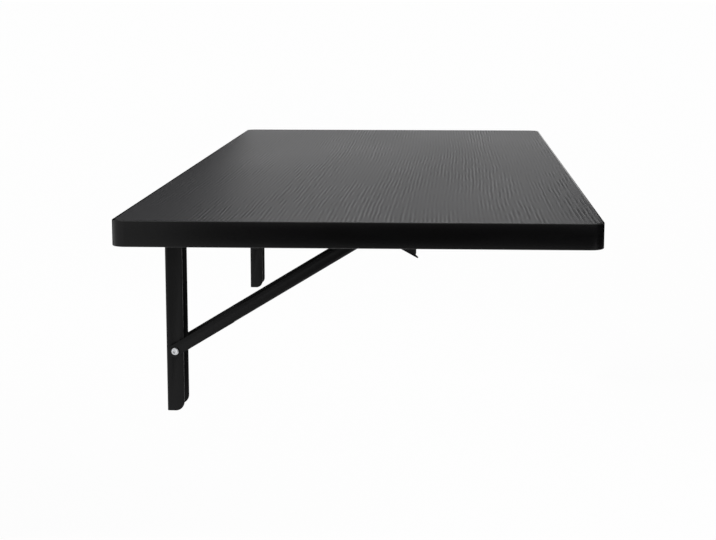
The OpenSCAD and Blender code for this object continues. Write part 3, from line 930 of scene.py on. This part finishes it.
class BENCH_OT_lever_springs(BenchOperator):
    """Wind the release levers' torsion springs"""

    bl_idname = "bench.lever_springs"
    bl_label = "Lever springs"

    def make(self, sizes):
        low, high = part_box("lever_spring_near")
        rivet = centre_of("lever_rivets")
        start = high.y - sizes.wire
        end = low.y + sizes.wire
        points = [Vector((low.x + sizes.wire, start, high.z - sizes.wire))]
        rings = COIL_SIDES * sizes.coil_turns
        for step in range(rings + 1):
            turn = tau * step / COIL_SIDES
            points.append(Vector((
                rivet.x + sizes.coil * sin(turn),
                start + (end - start) * step / rings,
                rivet.z + sizes.coil * cos(turn),
            )))
        over_lip = rivet.z - sizes.lip_drop + sizes.wire + sizes.side_play
        points.append(Vector((high.x - sizes.wire, end, over_lip)))
        curve = bpy.data.curves.new("lever_spring_route", "CURVE")
        curve.dimensions = "3D"
        curve.bevel_depth = sizes.wire
        curve.bevel_resolution = 3
        curve.use_fill_caps = True
        spline = curve.splines.new("POLY")
        spline.points.add(len(points) - 1)
        for place, point in zip(spline.points, points):
            place.co = (*point, 1.0)
        near = bpy.data.objects.new("lever_spring_near_wire", curve)
        bpy.context.scene.collection.objects.link(near)
        choose(near)
        bpy.ops.object.convert(target="MESH")
        near = bpy.context.object
        near.name = "lever_spring_near_wire"
        smooth(tidy_mesh(near), angle=60.0)
        far = mirrored(near, "lever_spring_far_wire")
        for side, piece in zip(SIDES, (near, far)):
            hand_over(piece, "table", "spring steel", f"lever_spring_{side}")


class BENCH_OT_worktop_screws(BenchOperator):
    """Model one pan-head screw with a cross recess and copy it under the worktop"""

    bl_idname = "bench.worktop_screws"
    bl_label = "Worktop screws"

    def make(self, sizes):
        low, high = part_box("worktop_screws")
        head, height, shank = sizes.screw_head, sizes.screw_height, sizes.screw_shank
        deep = high.z - low.z
        profile = [(height * up, head * out) for up, out in PAN_HEAD]
        profile += [
            (height, shank), (deep - sizes.screw_point, shank), (deep, shank * SCREW_TIP),
        ]
        first = lathe(
            "worktop_screw", profile, (0.0, 0.0, 0.0), (0.0, 0.0, 1.0), sides=SCREW_SIDES
        )
        cutter = start_primitive(
            bpy.ops.mesh.primitive_cube_add, "cross_recess", size=1.0, location=(0.0, 0.0, 0.0),
            scale=(sizes.recess_reach * 2, sizes.recess_width, sizes.recess_depth * 2),
        )
        settle(cutter)
        crossing = copied(cutter, "cross_recess_b", Matrix.Rotation(pi / 2, 4, "Z"))
        for blade in (cutter, crossing):
            apply_modifier(first, "BOOLEAN", operation="DIFFERENCE", object=blade, solver="EXACT")
        for blade in (cutter, crossing):
            bpy.data.objects.remove(blade)
        smooth(first, angle=30.0)
        copies = []
        start, end = low.x + head, high.x - head
        for row in (low.y + head, high.y - head):
            for number in range(sizes.screw_count):
                x = start + (end - start) * number / (sizes.screw_count - 1)
                place = Matrix.Translation((x, row, low.z))
                copies.append(copied(first, "worktop_screw_copy", place))
        bpy.data.objects.remove(first)
        piece = joined(copies, "worktop_screw_set")
        hand_over(piece, "table", "black zinc", "worktop_screws")


class BENCH_OT_stage(bpy.types.Operator):
    """Set the camera, the pale floor and the soft light"""

    bl_idname = "bench.stage"
    bl_label = "Stage"

    def execute(self, context):
        stage = context.scene.bench_stage
        self.camera(context.scene, stage)
        self.floor(stage)
        self.world(context.scene, stage)
        self.softbox(context.scene, stage)
        for name, middle, wide, high, turn, lean in BLACK_CARDS:
            self.black_card(name, middle, wide, high, radians(turn), radians(lean))
        context.scene.view_settings.view_transform = "Standard"
        bpy.ops.object.select_all(action="DESELECT")
        return {"FINISHED"}

    def camera(self, scene, stage):
        """The camera at the photograph's angle."""
        camera = bpy.data.cameras.new("bench_camera")
        camera.lens = stage.lens
        camera.sensor_width = SENSOR_WIDTH
        camera.clip_start, camera.clip_end = CLIP_START, CLIP_END
        eye = bpy.data.objects.new("bench_camera", camera)
        scene.collection.objects.link(eye)
        turn = (
            Matrix.Rotation(stage.yaw, 4, "Z")
            @ Matrix.Rotation(pi / 2 - stage.pitch, 4, "X")
            @ Matrix.Rotation(stage.roll, 4, "Z")
        )
        eye.matrix_world = Matrix.Translation(stage.eye) @ turn
        scene.camera = eye

    def floor(self, stage):
        """A pale floor that melts into the studio and is clear from below."""
        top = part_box("worktop_laminate")[1].z
        obj = start_primitive(
            bpy.ops.mesh.primitive_plane_add, "studio_floor", size=FLOOR_SIDE,
            location=(0.0, 0.0, top - stage.floor_drop),
        )
        settle(obj)
        material, mix = new_material("pale floor")
        below = mix.node("ShaderNodeNewGeometry", output=FACING_AWAY)
        dimmed = shade_of(stage.backdrop, FLOOR_SHADE)
        matt = mix.node("ShaderNodeBsdfDiffuse", None, {"Color": dimmed})
        glow = mix.node("ShaderNodeEmission", None, {"Color": stage.backdrop[:], "Strength": 1.0})
        clear = mix.node("ShaderNodeBsdfTransparent")
        share = self.shown_background(mix) * stage.floor_glow
        seen = mix.node("ShaderNodeMixShader", None, {0: share, 1: matt, 2: glow})
        faced = mix.node("ShaderNodeMixShader", None, {0: below, 1: seen, 2: clear})
        mix.node("ShaderNodeOutputMaterial", None, {"Surface": faced})
        obj.data.materials.append(material)

    def world(self, scene, stage):
        """The studio's even light, which shows at the backdrop's full level."""
        world = bpy.data.worlds.new("studio")
        world.use_nodes = True
        scene.world = world
        mix = Recipe(world.node_tree)
        level = stage.ambient + self.shown_background(mix) * (1.0 - stage.ambient)
        inputs = {"Color": stage.backdrop[:], "Strength": level}
        glow = mix.node("ShaderNodeBackground", None, inputs)
        mix.node("ShaderNodeOutputWorld", None, {"Surface": glow})

    def shown_background(self, mix):
        """One for the rays that show the background: camera, glossy and transmission rays."""
        seen, glossy, through = (
            mix.node("ShaderNodeLightPath", output=number)
            for number in (CAMERA_RAY, GLOSSY_RAY, TRANSMISSION_RAY)
        )
        return seen.maths("MAXIMUM", seen, glossy.maths("MAXIMUM", glossy, through))

    def black_card(self, name, place, wide, high, turn, lean):
        """A black card of the studio, which only darkens what the bench reflects."""
        obj = start_primitive(
            bpy.ops.mesh.primitive_plane_add, name, size=1.0, location=place,
            rotation=(pi / 2, lean, turn),
        )
        obj.scale = (wide, high, 1.0)
        settle(obj)
        obj.visible_camera = False
        material, mix = new_material(name)
        matt = mix.node("ShaderNodeBsdfDiffuse", None, {"Color": (0.0, 0.0, 0.0)})
        mix.node("ShaderNodeOutputMaterial", None, {"Surface": matt})
        obj.data.materials.append(material)

    def softbox(self, scene, stage):
        """The overhead softbox, aimed at the worktop."""
        lamp = bpy.data.lights.new("overhead_softbox", "AREA")
        lamp.shape = "RECTANGLE"
        lamp.size, lamp.size_y = SOFTBOX_SIDE, SOFTBOX_SIDE
        lamp.energy = stage.overhead
        obj = bpy.data.objects.new("overhead_softbox", lamp)
        scene.collection.objects.link(obj)
        obj.visible_camera = False
        aim = Vector(SOFTBOX_TARGET) - Vector(SOFTBOX_PLACE)
        turn = aim.to_track_quat("-Z", "Y").to_matrix().to_4x4()
        obj.matrix_world = Matrix.Translation(SOFTBOX_PLACE) @ turn


STEPS = (
    BENCH_OT_laminate,
    BENCH_OT_edge_band,
    BENCH_OT_backing,
    BENCH_OT_pressed_arms,
    BENCH_OT_release_levers,
    BENCH_OT_hinge_pins,
    BENCH_OT_strut_rivets,
    BENCH_OT_rings,
    BENCH_OT_slide_pins,
    BENCH_OT_lever_rivets,
    BENCH_OT_lever_springs,
    BENCH_OT_worktop_screws,
    BENCH_OT_stage,
)


class BENCH_PT_panel(bpy.types.Panel):
    """Lists the bench's pieces and settings"""

    bl_label = "Folding wall bench"
    bl_idname = "BENCH_PT_panel"
    bl_space_type = "VIEW_3D"
    bl_region_type = "UI"
    bl_category = "Bench"

    def draw(self, context):
        scene = context.scene
        for group in (scene.bench_sizes, scene.bench_finish, scene.bench_stage):
            box = self.layout.box()
            for name in group.__annotations__:
                box.prop(group, name)
        for step in STEPS:
            self.layout.operator(step.bl_idname)


CLASSES = (BenchSizes, BenchFinish, BenchStage, *STEPS, BENCH_PT_panel)


def register():
    for entry in CLASSES:
        bpy.utils.register_class(entry)
    bpy.types.Scene.bench_sizes = PointerProperty(type=BenchSizes)
    bpy.types.Scene.bench_finish = PointerProperty(type=BenchFinish)
    bpy.types.Scene.bench_stage = PointerProperty(type=BenchStage)


def unregister():
    del bpy.types.Scene.bench_stage
    del bpy.types.Scene.bench_finish
    del bpy.types.Scene.bench_sizes
    for entry in reversed(CLASSES):
        bpy.utils.unregister_class(entry)


def main():
    """Makes every piece and the stage."""
    register()
    bpy.ops.bench.laminate()
    bpy.ops.bench.edge_band()
    bpy.ops.bench.backing()
    bpy.ops.bench.pressed_arms()
    bpy.ops.bench.release_levers()
    bpy.ops.bench.hinge_pins()
    bpy.ops.bench.strut_rivets()
    bpy.ops.bench.rings()
    bpy.ops.bench.slide_pins()
    bpy.ops.bench.lever_rivets()
    bpy.ops.bench.lever_springs()
    bpy.ops.bench.worktop_screws()
    bpy.ops.bench.stage()


if __name__ == "__main__":
    main()
